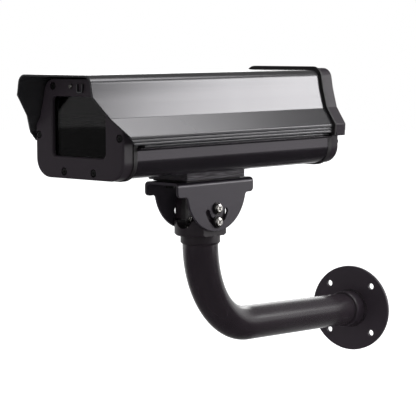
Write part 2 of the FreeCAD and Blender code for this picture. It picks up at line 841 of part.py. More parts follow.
def gland_places():
    """Places of the cable glands in the tray's rear cap."""
    return [(k * gland_half_spacing, tray_bottom + gland_height) for k in (-1, 0, 1)]


def tray_rear_gasket():
    """Rubber frame between the tray and its rear cap."""
    outer = along_y(tray_cap_points(tray_gasket_proud, tray_gasket_bottom_proud), tray_rear, tray_gasket_end)
    hole = along_y(tray_cap_points(-rear_cap_wall, -rear_cap_wall), tray_rear - past, tray_gasket_end + past)
    ring = outer.cut(hole)
    pads = [rod_y(port_radius, x, z, tray_rear, tray_gasket_end).common(outer)
            for x, z in tray_rear_places()]
    ring = joined([ring] + pads)
    holes = [rod_y(m4_radius + hole_clearance, x, z, tray_rear - past, tray_gasket_end + past)
             for x, z in tray_rear_places()]
    return ring.cut(holes)


def tray_rear_cap():
    """Moulded dish that closes the tray's rear end and carries the cable glands."""
    body = along_y(tray_cap_points(0, 0), tray_gasket_end, tray_cap_end)
    rim = [e for e in body.Edges if min(v.Y for v in e.Vertexes) > tray_cap_end - match
           and min(v.Z for v in e.Vertexes) < seam - rear_cap_seam - match]
    body = body.makeFillet(rear_cap_edge_radius, rim)
    pocket = along_y(tray_cap_points(-rear_cap_wall, -rear_cap_wall), tray_gasket_end - past,
                     tray_cap_end - rear_cap_wall)
    top = seam - rear_cap_seam
    lid_strip = block(-tray_half_width, tray_half_width, tray_gasket_end,
                      tray_cap_end - rear_cap_edge_radius, top - rear_cap_wall, top)
    bosses = [rod_y(port_radius, x, z, tray_gasket_end, tray_cap_end - rear_cap_wall / 2).common(body)
              for x, z in tray_rear_places()]
    body = joined([body.cut(pocket), lid_strip.common(body)] + bosses)
    holes = [rod_y(m4_radius + hole_clearance, x, z, tray_gasket_end - past, tray_cap_end + past)
             for x, z in tray_rear_places()]
    holes += [rod_y(gland_thread_radius + gland_hole_clearance, x, z,
                    tray_cap_end - rear_cap_wall - past, tray_cap_end + past) for x, z in gland_places()]
    return body.cut(holes)


def tray_rear_screws():
    """Four screws through the tray's rear cap into the screw channels."""
    length = tray_cap_end - tray_rear + channel_grip
    one = pan_screw(m4_radius - thread_clearance, length, m4_head_radius, m4_head_height)
    return group([moved_to(one, (x, tray_cap_end, z), (0, 1, 0)) for x, z in tray_rear_places()])


def gland_body():
    """Body of one cable gland, its flange's seat at 0 and its thread behind."""
    inner = rear_cap_wall + gland_locknut_thickness + screw_end_spare
    thread = rod_z(gland_thread_radius, 0, 0, -inner, 0)
    neck = rod_z(gland_neck_radius, 0, 0, 0, gland_flange_thickness + gland_neck_length)
    body = joined([hexagon(gland_hex, gland_flange_thickness), thread, neck])
    return body.cut(rod_z(gland_mouth_radius, 0, 0, -inner - past, gland_flange_thickness + gland_nut_length))


def gland_dome_nut():
    """Domed clamping nut of one cable gland."""
    length = gland_nut_length
    nose = Part.makeCone(gland_nut_base_radius, gland_nut_nose_radius, gland_nut_nose, Vector(0, 0, length))
    body = joined([hexagon(gland_nut_hex, length), nose])
    body = body.cut(rod_z(gland_neck_radius + thread_clearance, 0, 0, -past, gland_neck_length + past))
    return body.cut(rod_z(gland_nut_mouth_radius, 0, 0, -past, length + gland_nut_nose + past))


def gland_locknut():
    """Thin nut that holds one gland from inside."""
    nut = hexagon(gland_locknut_hex, gland_locknut_thickness)
    hole = rod_z(gland_thread_radius + thread_clearance, 0, 0, -past, gland_locknut_thickness + past)
    return nut.cut(hole)


def gland_plug():
    """Rubber seal of one gland, blind because no cable goes through it."""
    length = gland_flange_thickness + gland_nut_length + gland_nut_nose - gland_plug_set_back
    return rod_z(gland_mouth_radius - thread_clearance, 0, 0, 0, length)


def on_glands(make, back):
    """One copy of a gland's piece at each gland, set back from the rear face."""
    return group([moved_to(make(), (x, tray_cap_end + back, z), (0, 1, 0)) for x, z in gland_places()])


def camera_plate():
    """Flat plate with slots that the camera is screwed to."""
    body = along_z([(-plate_half_width, -plate_front, plate_corner_radius),
                    (plate_half_width, -plate_front, plate_corner_radius),
                    (plate_half_width, plate_rear, plate_corner_radius),
                    (-plate_half_width, plate_rear, plate_corner_radius)],
                   rail_top, rail_top + plate_thickness)
    cuts = [long_hole(0, -plate_slot_front, plate_slot_rear, plate_slot_width)]
    cuts += [long_hole(side * tie_slot_half, y, y + tie_slot_length, tie_slot_width)
             for side in (1, -1) for y in tie_slot_starts]
    cuts += [rod_z(m4_radius + hole_clearance, side * rail_half, y,
                   rail_top - past, rail_top + plate_thickness + past)
             for side in (1, -1) for y in plate_screw_places]
    head = Part.makeCone(m4_radius, m4_head_radius + thread_clearance, flat_head_height,
                         Vector(0, 0, -flat_head_height))
    cuts += [moved_to(head, (side * rail_half, y, rail_top + plate_thickness), (0, 0, 1))
             for side in (1, -1) for y in plate_screw_places]
    return body.cut(cuts)


def long_hole(x, y0, y1, width):
    """Cutter for a slot along Y with round ends, through the camera plate."""
    half = width / 2
    low = rail_top - past
    high = rail_top + plate_thickness + past
    middle = block(x - half, x + half, y0 + half, y1 - half, low, high)
    return middle.fuse([rod_z(half, x, y0 + half, low, high), rod_z(half, x, y1 - half, low, high)])


def plate_screws():
    """Four countersunk screws that hold the camera plate on its rails."""
    one = flat_screw(m4_radius - thread_clearance, plate_thickness + plate_screw_grip,
                     m4_head_radius, flat_head_height)
    top = rail_top + plate_thickness
    return group([moved_to(one, (side * rail_half, y, top), (0, 0, 1))
                  for side in (1, -1) for y in plate_screw_places])


def camera_screw():
    """Screw for the camera's thread, with a knob under the plate."""
    knob_top = rail_top - fibre_washer_thickness
    knob_bottom = knob_top - camera_knob_height
    half = knob_slot_width / 2
    knob = rod_z(camera_knob_radius, 0, camera_screw_place, knob_bottom, knob_top)
    slot = block(-camera_knob_radius, camera_knob_radius, camera_screw_place - half,
                 camera_screw_place + half, knob_bottom - past, knob_bottom + knob_slot_depth)
    shank = rod_z(camera_screw_radius, 0, camera_screw_place, knob_top - past,
                  rail_top + plate_thickness + camera_screw_stand)
    return joined([knob, shank]).cut(slot)


def camera_washer():
    """Fibre washer between the camera screw's knob and the plate."""
    ring = washer(camera_screw_radius + thread_clearance, camera_knob_radius, fibre_washer_thickness)
    return moved_to(ring, (0, camera_screw_place, rail_top - fibre_washer_thickness), (0, 0, 1))


def adaptor_block():
    """Aluminium block between the tray and the yoke."""
    body = block(-adaptor_half_width, adaptor_half_width, -adaptor_front, adaptor_rear,
                 block_bottom, tray_bottom)
    body = body.makeChamfer(adaptor_edge, body.Edges)
    return body.cut(adaptor_holes(block_bottom, tray_bottom))


def adaptor_holes(low, high):
    """Cutters for the four screws between the yoke and the tray."""
    return [rod_z(m6_radius + hole_clearance, side * adaptor_screw_half, y, low - past, high + past)
            for side in (1, -1) for y in adaptor_screw_places]


def yoke_pad():
    """Thin pad between the block and the yoke."""
    body = block(-adaptor_half_width + pad_margin, adaptor_half_width - pad_margin,
                 -adaptor_front + pad_margin, adaptor_rear - pad_margin, yoke_rise, block_bottom)
    return body.cut(adaptor_holes(yoke_rise, block_bottom))


def adaptor_screws():
    """Four screws from under the yoke, through the block, into the tray."""
    held = yoke_sheet + pad_thickness + adaptor_thickness + tray_wall + m6_washer_thickness + m6_nut_height
    length = held + adaptor_screw_spare
    one = socket_screw(m6_radius, length, m6_socket_head_radius, m6_socket_head_height)
    seat = yoke_rise - yoke_sheet
    return group([moved_to(one, (side * adaptor_screw_half, y, seat), (0, 0, -1))
                  for side in (1, -1) for y in adaptor_screw_places])


def adaptor_nuts():
    """Nuts and washers on the tray's floor for the adaptor's screws."""
    ring = washer(m6_radius + thread_clearance, nut_washer_radius, m6_washer_thickness)
    nut = hexagon(m6_nut_width, m6_nut_height).cut(
        rod_z(m6_radius + thread_clearance, 0, 0, -past, m6_nut_height + past))
    nut.translate(Vector(0, 0, m6_washer_thickness))
    one = joined([ring, nut])
    return group([moved_to(one, (side * adaptor_screw_half, y, tray_floor), (0, 0, 1))
                  for side in (1, -1) for y in adaptor_screw_places])


def cheek_outline():
    """Side outline of the yoke: a straight eared flange with a round cheek below it."""
    level = yoke_ear_bottom - cheek_centre_height
    half = math.sqrt(cheek_radius ** 2 - level ** 2)
    flange = along_x([(-yoke_front, yoke_ear_bottom, yoke_ear_radius),
                      (yoke_rear, yoke_ear_bottom, yoke_ear_radius),
                      (yoke_rear, yoke_rise, 0), (-yoke_front, yoke_rise, 0)],
                     -yoke_half_width, yoke_half_width)
    disc = rod_x(cheek_radius, cheek_centre_place, cheek_centre_height, -yoke_half_width, yoke_half_width)
    lower = disc.common(block(-far_out, far_out, -far_out, far_out, -far_out, yoke_ear_bottom + past))
    body = flange.fuse(lower).removeSplitter()
    inner = [e for e in body.Edges if abs(e.Vertexes[0].Z - yoke_ear_bottom) < match
             and abs(e.Vertexes[-1].Z - yoke_ear_bottom) < match
             and abs(abs(e.Vertexes[0].Y - cheek_centre_place) - half) < match
             and abs(e.Vertexes[0].X - e.Vertexes[-1].X) > match]
    return body.makeFillet(cheek_fillet, inner)


def tilt_slot():
    """Cutter for the curved slot that the lock bolts slide in."""
    half = tilt_slot_width / 2
    wide = yoke_half_width + past
    ring = rod_x(tilt_slot_radius + half, 0, 0, -wide, wide)
    ring = ring.cut(rod_x(tilt_slot_radius - half, 0, 0, -wide - past, wide + past))
    reach = tilt_slot_radius / math.cos(math.radians(tilt_slot_half_angle))
    wedge = [(0, 0, 0)]
    for angle in (-90 - tilt_slot_half_angle, -90, -90 + tilt_slot_half_angle):
        turn = math.radians(angle)
        wedge.append((reach * math.cos(turn), reach * math.sin(turn), 0))
    arc = ring.common(along_x(wedge, -wide, wide))
    ends = []
    for side in (1, -1):
        turn = math.radians(-90 + side * tilt_slot_half_angle)
        ends.append(rod_x(half, tilt_slot_radius * math.cos(turn), tilt_slot_radius * math.sin(turn),
                          -wide, wide))
    return arc.fuse(ends)


def yoke():
    """Folded steel yoke with pivot holes and curved tilt slots."""
    section = [(-yoke_half_width, -cheek_radius, 0), (yoke_half_width, -cheek_radius, 0),
               (yoke_half_width, yoke_rise, yoke_bend_radius),
               (-yoke_half_width, yoke_rise, yoke_bend_radius)]
    hollow = inset(section, [open_side, yoke_sheet, yoke_sheet, yoke_sheet])
    channel = along_y(section, -yoke_front - past, yoke_rear + past)
    channel = channel.cut(along_y(hollow, -yoke_front - 2 * past, yoke_rear + 2 * past))
    body = channel.common(cheek_outline())
    wide = yoke_half_width + past
    holes = [rod_x(m6_radius + hole_clearance, 0, 0, -wide, wide), tilt_slot()]
    return body.cut(holes + adaptor_holes(yoke_rise - yoke_sheet, yoke_rise))


def head_casting():
    """Cast cup with two lugs for the tilt bolts, a cable notch and a collar for the arm."""
    cup = rod_z(cup_radius, 0, 0, -cup_bottom, -cup_top)
    base = [e for e in cup.Edges if abs(e.BoundBox.ZMax + cup_bottom) < match
            and abs(e.BoundBox.ZMin + cup_bottom) < match]
    cup = cup.makeChamfer(cup_edge, base)
    cup = cup.common(block(-cup_flat_half, cup_flat_half, -cup_radius, cup_radius, -cup_bottom, -cup_top))
    top = [(-lug_radius, -cup_top - past, 0), (lug_radius, -cup_top - past, 0),
           (lug_radius, 0, 0), (-lug_radius, 0, 0)]
    lug = along_x(top, -cup_flat_half, cup_flat_half)
    crown = rod_x(lug_radius, 0, 0, -cup_flat_half, cup_flat_half)
    collar_radius = pipe_radius + pipe_clearance + collar_wall
    collar = rod_z(collar_radius, 0, 0, -cup_bottom - collar_length, -cup_bottom + past)
    low = [e for e in collar.Edges if abs(e.BoundBox.ZMax + cup_bottom + collar_length) < match]
    collar = collar.makeChamfer(collar_chamfer, low)
    body = joined([cup, lug, crown, collar])
    over = lug_radius + past
    body = body.cut([rod_z(cup_bore_radius, 0, 0, -pipe_seat - past, over),
                     block(-lug_gap_half, lug_gap_half, -over, over, -cup_top, over),
                     rod_z(pipe_radius + pipe_clearance, 0, 0, -cup_bottom - collar_length - past,
                           -pipe_seat)])
    notch_middle = notch_half_width - notch_bottom
    notch = block(-notch_half_width, notch_half_width, -cup_radius - past, 0, notch_middle, over)
    notch = notch.fuse(rod_y(notch_half_width, 0, notch_middle, -cup_radius - past, 0))
    threads = [rod_x(m6_radius + thread_clearance, 0, z, -cup_flat_half - past, cup_flat_half + past)
               for z in (0.0, -tilt_slot_radius)]
    grubs = [moved_to(rod_z(grub_radius + thread_clearance, 0, 0, 0, cup_radius + past),
                      (0, 0, grub_level()), grub_direction(angle)) for angle in grub_angles]
    return body.cut([notch] + threads + grubs)


def grub_level():
    """Height of the grub screws, in the cup's wall around the arm's end."""
    return -(pipe_seat + cup_bottom) / 2


def grub_direction(angle):
    """Level direction at an angle from +X."""
    return (math.cos(math.radians(angle)), math.sin(math.radians(angle)), 0)


def grub_screws():
    """Grub screws that clamp the head on the arm."""
    inner = pipe_radius + grub_gap
    one = rod_z(grub_radius, 0, 0, inner, inner + grub_length)
    socket = hexagon(grub_socket, grub_length)
    socket.translate(Vector(0, 0, inner + grub_length - grub_socket))
    one = one.cut(socket)
    return group([moved_to(one, (0, 0, grub_level()), grub_direction(angle)) for angle in grub_angles])


def tilt_bolts(height):
    """One bolt through each cheek into the casting, at a height from the tilt axis."""
    seat = yoke_half_width + m6_washer_thickness
    length = seat - cup_bore_radius + screw_end_spare
    one = pan_screw(m6_radius, length, m6_head_radius, m6_head_height)
    return group([moved_to(one, (side * seat, 0, height), (side, 0, 0)) for side in (1, -1)])


def bolt_washers():
    """Washers under the heads of the tilt bolts."""
    outer = m6_washer_radius
    one = washer(m6_radius + thread_clearance, outer, m6_washer_thickness)
    return group([moved_to(one, (side * yoke_half_width, 0, z), (side, 0, 0))
                  for side in (1, -1) for z in (0.0, -tilt_slot_radius)])


def ellipse_wire(centre, along, across, high):
    """Ring round the arm's line: half sizes across the arm and in its plane."""
    side = Vector(1, 0, 0)
    if across - high < match:
        return Part.Wire(Part.makeCircle(across, centre, along))
    ring = Part.Ellipse(centre + side * across, centre + side.cross(along) * high, centre)
    return Part.Wire(ring.toShape())


def bend_point(turn):
    """Point and direction of the arm's centre line in the bend."""
    centre = Vector(0, bend_radius, -pipe_start)
    point = centre + Vector(0, -bend_radius * math.cos(turn), -bend_radius * math.sin(turn))
    return point, Vector(0, math.sin(turn), -math.cos(turn))


def arm_solid(radius):
    """Solid along the arm's line: upright end, slightly flattened bend, and the run to the wall."""
    top = rod_z(radius, 0, 0, -pipe_start, -pipe_seat - pipe_seat_gap)
    rings = []
    for k in range(bend_rings):
        part = k / (bend_rings - 1)
        share = 1 - (1 - bend_squash) * math.sin(math.pi * part) ** 2
        point, along = bend_point(bend_rad * part)
        rings.append(ellipse_wire(point, along, radius, radius * share))
    bend = Part.makeLoft(rings, True)
    point, along = bend_point(bend_rad)
    length = (arm_reach - point.y) / along.y
    run = Part.makeCylinder(radius, length + radius, point, along)
    run = run.common(block(-far_out, far_out, -far_out, arm_reach, -far_out, far_out))
    return joined([top, bend, run])


def arm_centre():
    """Height of the arm's line where it meets the flange, below the tilt axis."""
    point, along = bend_point(bend_rad)
    return point.z + along.z / along.y * (arm_reach - point.y)


def panned(shape):
    """Turns a piece of the bracket aside from the housing."""
    return shape.rotated(Vector(0, 0, 0), Vector(0, 0, 1), arm_pan)


def arm_pipe():
    """Bent steel tube."""
    outer = arm_solid(pipe_radius)
    inner = arm_solid(pipe_radius - pipe_wall)
    mouth = rod_z(pipe_radius - pipe_wall, 0, 0, -pipe_seat - past, -pipe_seat + past)
    return panned(outer.cut([inner, mouth]))


def wall_flange():
    """Round wall plate with four holes and the sleeve that the arm is welded into."""
    wall = Vector(0, 1, 0)
    centre = Vector(0, arm_reach, arm_centre())
    plate = Part.makeCylinder(flange_radius, flange_thickness, centre, wall)
    plate = plate.makeChamfer(flange_edge, [e for e in plate.Edges if e.Closed])
    along = bend_point(bend_rad)[1]
    sunk = flange_thickness / 2
    hub = Part.makeCylinder(hub_radius, sunk + hub_length - hub_edge, centre + along * sunk, -along)
    rim = Part.makeCone(hub_radius, hub_radius - hub_edge, hub_edge,
                        centre - along * (hub_length - hub_edge), -along)
    body = joined([plate, hub, rim])
    hole = Part.makeCylinder(pipe_radius, bend_radius, centre - along * (bend_radius - pipe_radius), along)
    hole = hole.common(block(-far_out, far_out, -far_out, arm_reach, -far_out, far_out))
    behind = centre - wall * past
    cuts = [hole, Part.makeCylinder(flange_bore_radius, flange_thickness + 2 * past, behind, wall)]
    for k in range(flange_hole_count):
        turn = math.radians(360 / flange_hole_count * (k + 0.5))
        place = behind + Vector(math.cos(turn), 0, math.sin(turn)) * (flange_hole_circle / 2)
        cuts.append(Part.makeCylinder(flange_hole_radius, flange_thickness + 2 * past, place, wall))
    return panned(body.cut(cuts))


def origin():
    """Centre of the flange's back face, which becomes the part's origin."""
    turn = math.radians(arm_pan)
    reach = arm_reach + flange_thickness
    return Vector(-reach * math.sin(turn), reach * math.cos(turn), arm_centre())


pieces = {
    "arm_pipe": arm_pipe(),
    "wall_flange": wall_flange(),
    "head_casting": head_casting(),
    "grub_screws": grub_screws(),
    "pivot_bolts": tilt_bolts(0.0),
    "lock_bolts": tilt_bolts(-tilt_slot_radius),
    "bolt_washers": bolt_washers(),
    "yoke": yoke(),
    "yoke_pad": yoke_pad(),
    "adaptor_block": adaptor_block(),
    "adaptor_screws": adaptor_screws(),
    "adaptor_nuts": adaptor_nuts(),
    "tray": tray(),
    "side_seals": side_seals(),
    "closing_screws": closing_screws(),
    "closing_washers": closing_washers(),
    "front_cap": front_cap(),
    "front_cap_screws": front_cap_screws(),
    "front_gasket": front_gasket(),
    "window_gasket": window_gasket(),
    "window_glass": window_glass(),
    "window_frame": window_frame(),
    "window_frame_screws": window_frame_screws(),
    "hood_clip": hood_clip(),
    "hood_clip_screw": hood_clip_screw(),
    "tray_rear_gasket": tray_rear_gasket(),
    "tray_rear_cap": tray_rear_cap(),
    "tray_rear_screws": tray_rear_screws(),
    "gland_bodies": on_glands(gland_body, 0),
    "gland_nuts": on_glands(gland_dome_nut, gland_flange_thickness),
    "gland_locknuts": on_glands(gland_locknut, -rear_cap_wall - gland_locknut_thickness),
    "gland_plugs": on_glands(gland_plug, 0),
    "camera_plate": camera_plate(),
    "plate_screws": plate_screws(),
    "camera_screw": camera_screw(),
    "camera_washer": camera_washer(),
    "lid": lid(),
    "lid_rear_gasket": lid_rear_gasket(),
    "lid_rear_cap": lid_rear_cap(),
    "lid_rear_screws": lid_rear_screws(),
}

os.makedirs("parts", exist_ok=True)
for name, shape in pieces.items():
    placed = shape.copy()
    placed.translate(-origin())
    placed.exportStep("parts/" + name + ".step")
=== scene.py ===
import math

import bmesh
import bpy
from mathutils import Matrix, Vector


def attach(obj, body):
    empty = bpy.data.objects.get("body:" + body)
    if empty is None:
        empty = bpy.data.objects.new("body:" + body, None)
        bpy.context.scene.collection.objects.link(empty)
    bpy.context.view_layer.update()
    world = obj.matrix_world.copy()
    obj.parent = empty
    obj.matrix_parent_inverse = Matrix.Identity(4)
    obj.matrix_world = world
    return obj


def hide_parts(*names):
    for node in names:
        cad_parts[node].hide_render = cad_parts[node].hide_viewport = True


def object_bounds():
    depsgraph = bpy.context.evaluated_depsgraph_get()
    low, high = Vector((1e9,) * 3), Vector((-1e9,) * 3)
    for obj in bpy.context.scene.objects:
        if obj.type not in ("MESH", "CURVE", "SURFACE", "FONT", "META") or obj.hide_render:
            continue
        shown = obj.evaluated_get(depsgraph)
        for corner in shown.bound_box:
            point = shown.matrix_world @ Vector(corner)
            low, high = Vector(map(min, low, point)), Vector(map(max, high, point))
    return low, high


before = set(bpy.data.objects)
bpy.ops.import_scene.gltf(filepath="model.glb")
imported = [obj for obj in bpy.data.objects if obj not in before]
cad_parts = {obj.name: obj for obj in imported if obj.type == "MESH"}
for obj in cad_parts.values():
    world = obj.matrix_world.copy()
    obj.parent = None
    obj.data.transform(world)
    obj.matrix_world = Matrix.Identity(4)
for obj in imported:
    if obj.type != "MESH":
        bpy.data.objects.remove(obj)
cad_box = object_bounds()


# Camera: it stands to the right of the window's side and a little above the lid, far off with a
# long lens, as in the photograph.
camera = bpy.data.objects.new("camera", bpy.data.cameras.new("camera"))
bpy.context.collection.objects.link(camera)
camera.data.lens = 150.2
camera.data.sensor_width = 36.0
camera.data.clip_end = 100.0
stand = (1.36033, -1.76302, 0.34591)
ahead = Vector((-0.67145, 0.73467, -0.09705)).normalized()
right = Vector((0.73835, 0.67441, -0.00315))
right = (right - ahead * right.dot(ahead)).normalized()
up = right.cross(ahead)
aim = Matrix((right, up, -ahead)).transposed().to_4x4()
camera.matrix_world = Matrix.Translation(stand) @ aim
bpy.context.scene.camera = camera


# Floor: a wide pale sheet well below the arm. Seen directly it is as white as the backdrop, and
# it keeps the soft shadow of the housing. In a gloss it is white only where it runs to the
# backdrop, and grey before the housing and to the right of the arm.
def linear(code):
    """Linear colour of an sRGB hex code."""
    parts = [int(code[k:k + 2], 16) / 255 for k in (1, 3, 5)]
    return tuple(p / 12.92 if p <= 0.04045 else ((p + 0.055) / 1.055) ** 2.4 for p in parts) + (1.0,)


def add_node(tree, kind, settings=None, links=None):
    """Adds one node, with its settings and the sockets that feed it."""
    node = tree.nodes.new("ShaderNode" + kind)
    for key, value in (settings or {}).items():
        if isinstance(key, str) and hasattr(node, key):
            setattr(node, key, value)
        else:
            node.inputs[key].default_value = value
    for key, source in (links or {}).items():
        tree.links.new(source, node.inputs[key])
    return node


def start_material(name):
    """Material with a shader, its output and the piece's own coordinates in metres."""
    material = bpy.data.materials.new(name)
    material.use_nodes = True
    tree = material.node_tree
    tree.nodes.clear()
    shader = add_node(tree, "BsdfPrincipled")
    add_node(tree, "OutputMaterial", links={"Surface": shader.outputs[0]})
    place = add_node(tree, "TexCoord").outputs["Object"]
    return material, tree, shader, place


def finished_piece(shape, name, material):
    """Object at the origin from a bmesh, with its material."""
    mesh = bpy.data.meshes.new(name)
    shape.to_mesh(mesh)
    shape.free()
    piece = bpy.data.objects.new(name, mesh)
    bpy.context.collection.objects.link(piece)
    mesh.materials.append(material)
    return piece


def seen_directly(tree, path):
    """1 for what shows straight or through the window, and 0 for what lights or is mirrored."""
    bounces = add_node(tree, "Math", {"operation": "ADD"},
                       {0: path.outputs["Diffuse Depth"], 1: path.outputs["Glossy Depth"]})
    none_yet = add_node(tree, "Math", {"operation": "LESS_THAN", 1: 0.5}, {0: bounces.outputs[0]})
    through = add_node(tree, "Math", {"operation": "MULTIPLY"},
                       {0: path.outputs["Is Transmission Ray"], 1: none_yet.outputs[0]})
    seen = add_node(tree, "Math", {"operation": "MAXIMUM"},
                    {0: path.outputs["Is Camera Ray"], 1: through.outputs[0]})
    return seen.outputs[0]


floor_drop = 0.52
floor_size = 24.0
behind_housing = (-0.67, 0.74, 0.0)
left_of_arm = (-0.91, 0.41, 0.0)
material, tree, shader, place = start_material("pale_studio_floor")
shader.inputs["Base Color"].default_value = linear("#ececec")
shader.inputs["Roughness"].default_value = 0.9
path = add_node(tree, "LightPath")
glow = add_node(tree, "Emission", {"Color": linear("#ffffff"), "Strength": 0.82})
both = add_node(tree, "AddShader", links={0: shader.outputs[0], 1: glow.outputs[0]})
plain = add_node(tree, "MixShader", links={0: seen_directly(tree, path), 1: shader.outputs[0],
                                           2: both.outputs[0]})
# In a gloss it brightens with the metres behind the housing, and only to the left of the arm.
run = add_node(tree, "VectorMath", {"operation": "DOT_PRODUCT", 1: behind_housing}, {0: place})
far = add_node(tree, "MapRange", {"From Min": 0.3, "From Max": 1.7, "To Min": 0.08, "To Max": 0.9},
               {"Value": run.outputs["Value"]})
away = add_node(tree, "VectorMath", {"operation": "NORMALIZE"}, {0: place})
aside = add_node(tree, "VectorMath", {"operation": "DOT_PRODUCT", 1: left_of_arm}, {0: away.outputs[0]})
share = add_node(tree, "MapRange", {"From Min": 0.05, "From Max": 0.4, "To Min": 0.1},
                 {"Value": aside.outputs["Value"]})
level = add_node(tree, "Math", {"operation": "MULTIPLY"}, {0: far.outputs[0], 1: share.outputs[0]})
mirrored = add_node(tree, "Emission", {"Color": linear("#ffffff")}, {"Strength": level.outputs[0]})
surface = add_node(tree, "MixShader", links={0: path.outputs["Is Glossy Ray"], 1: plain.outputs[0],
                                             2: mirrored.outputs[0]})
output = [n for n in tree.nodes if n.type == "OUTPUT_MATERIAL"][0]
tree.links.new(surface.outputs[0], output.inputs["Surface"])
shape = bmesh.new()
bmesh.ops.create_grid(shape, x_segments=1, y_segments=1, size=floor_size / 2)
bmesh.ops.translate(shape, vec=(0, 0, cad_box[0][2] - floor_drop), verts=shape.verts)
floor = finished_piece(shape, "floor", material)


# Light: a room that is white behind the housing and dim behind the camera. The lid's steep side
# mirrors a long softbox, its flare one overhead, its top one behind, the tray's side a low panel
# and the arm a narrow strip. A fill from the front lifts the shadows and shows in no gloss.
world = bpy.data.worlds.new("studio_room")
bpy.context.scene.world = world
world.use_nodes = True
tree = world.node_tree
tree.nodes.clear()
backdrop_side = (-0.5, 0.87, 0.0)
fade_from, fade_to = 0.12, 0.36
path = add_node(tree, "LightPath")
sight = add_node(tree, "TexCoord").outputs["Generated"]
aside = add_node(tree, "VectorMath", {"operation": "DOT_PRODUCT", 1: backdrop_side}, {0: sight})
behind = add_node(tree, "MapRange", {"From Min": 0.3, "From Max": 0.9}, {"Value": aside.outputs["Value"]})
rise = add_node(tree, "SeparateXYZ", links={0: sight}).outputs["Z"]
low = add_node(tree, "MapRange", {"From Min": fade_from, "From Max": fade_to, "To Min": 1.0,
                                  "To Max": 0.0}, {"Value": rise})
backdrop = add_node(tree, "Math", {"operation": "MULTIPLY"}, {0: behind.outputs[0], 1: low.outputs[0]})
level = add_node(tree, "MapRange", {"To Min": 0.24, "To Max": 1.0}, {"Value": backdrop.outputs[0]})
soft = add_node(tree, "Background", {"Color": linear("#f4f6f8"), "Strength": 0.62})
mirrored = add_node(tree, "Background", {"Color": linear("#ffffff")}, {"Strength": level.outputs[0]})
white = add_node(tree, "Background", {"Color": linear("#ffffff"), "Strength": 1.0})
unseen = add_node(tree, "MixShader", links={0: path.outputs["Is Glossy Ray"], 1: soft.outputs[0],
                                            2: mirrored.outputs[0]})
room = add_node(tree, "MixShader", links={0: seen_directly(tree, path), 1: unseen.outputs[0],
                                          2: white.outputs[0]})
add_node(tree, "OutputWorld", links={"Surface": room.outputs[0]})


def softbox(name, turn, rise, distance, width, height, radiance, in_gloss=True):
    """Rectangular lamp that faces the lid, turned from +Y towards +X and raised, in degrees."""
    lamp = bpy.data.lights.new(name, "AREA")
    lamp.shape = "RECTANGLE"
    lamp.size = width
    lamp.size_y = height
    lamp.energy = radiance * math.pi * width * height
    box = bpy.data.objects.new(name, lamp)
    bpy.context.collection.objects.link(box)
    turn = math.radians(turn)
    rise = math.radians(rise)
    toward = Vector((math.sin(turn) * math.cos(rise), math.cos(turn) * math.cos(rise), math.sin(rise)))
    lid_middle = Vector((0.08, -0.37, 0.28))
    box.location = lid_middle + toward * distance
    box.rotation_euler = toward.to_track_quat("Z", "Y").to_euler()
    box.visible_camera = False
    box.visible_glossy = in_gloss


softbox("side_softbox", turn=36.8, rise=13.0, distance=3.0, width=0.82, height=0.95, radiance=12.6)
softbox("overhead_softbox", turn=42.5, rise=47.0, distance=2.4, width=1.36, height=1.02, radiance=6.5)
softbox("back_softbox", turn=-42.0, rise=8.0, distance=3.2, width=2.2, height=0.8, radiance=1.5)
softbox("low_panel", turn=45.0, rise=-3.5, distance=3.0, width=1.2, height=0.58, radiance=2.1)
softbox("arm_strip", turn=20.0, rise=17.5, distance=3.0, width=0.60, height=1.20, radiance=2.2)
softbox("front_fill", turn=-172.0, rise=-14.0, distance=3.0, width=1.5, height=1.1, radiance=5.0,
        in_gloss=False)


# Lid and hood: one aluminium extrusion with a dark satin coat, cut off on a slant at the front to
# make the hood. It hinges on the tray's near edge. The coat turns each flat into one soft, even
# band of light, with only the faint lengthwise lines of the die in it.
def dress(material, *names):
    """Gives CAD nodes a material."""
    for name in names:
        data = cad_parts[name].data
        data.materials.clear()
        data.materials.append(material)


def soft_edges(tree, radius_mm):
    """Normal that rounds a piece's sharp edges by a small radius, so that they catch light."""
    return add_node(tree, "Bevel", {"samples": 4, "Radius": radius_mm / 1000.0}).outputs[0]


def extruded_coat(name, colour, worn, roughness):
    """Satin coat over an extrusion: faint lengthwise die lines and a fine grain."""
    material, tree, shader, place = start_material(name)
    across, along = 700.0, 0.4
    lines = add_node(tree, "Mapping", {"Scale": (across, along, across)}, {"Vector": place})
    die = add_node(tree, "TexNoise", {"Scale": 1.0, "Detail": 1.0}, {"Vector": lines.outputs[0]})
    grain = add_node(tree, "TexNoise", {"Scale": 1500.0, "Detail": 2.0}, {"Vector": place})
    cloud = add_node(tree, "TexNoise", {"Scale": 9.0, "Detail": 4.0}, {"Vector": place})
    tone = add_node(tree, "MapRange", {"From Min": 0.3, "From Max": 0.7}, {"Value": cloud.outputs[0]})
    mix = add_node(tree, "Mix", {"data_type": "RGBA", 6: linear(colour), 7: linear(worn)},
                   {0: tone.outputs[0]})
    rough = add_node(tree, "MapRange", {"From Min": 0.3, "From Max": 0.7,
                                        "To Min": roughness - 0.01, "To Max": roughness + 0.01},
                     {"Value": die.outputs[0]})
    low = add_node(tree, "Bump", {"Strength": 0.002, "Distance": 0.0001},
                   {"Height": die.outputs[0], "Normal": soft_edges(tree, 0.8)})
    fine = add_node(tree, "Bump", {"Strength": 0.008, "Distance": 0.0001},
                    {"Height": grain.outputs[0], "Normal": low.outputs[0]})
    tree.links.new(mix.outputs[2], shader.inputs["Base Color"])
    tree.links.new(rough.outputs[0], shader.inputs["Roughness"])
    tree.links.new(fine.outputs[0], shader.inputs["Normal"])
    shader.inputs["Metallic"].default_value = 0.55
    return material


dress(extruded_coat("satin_coated_aluminium_lid", "#3f3e40", "#444345", roughness=0.20), "lid")


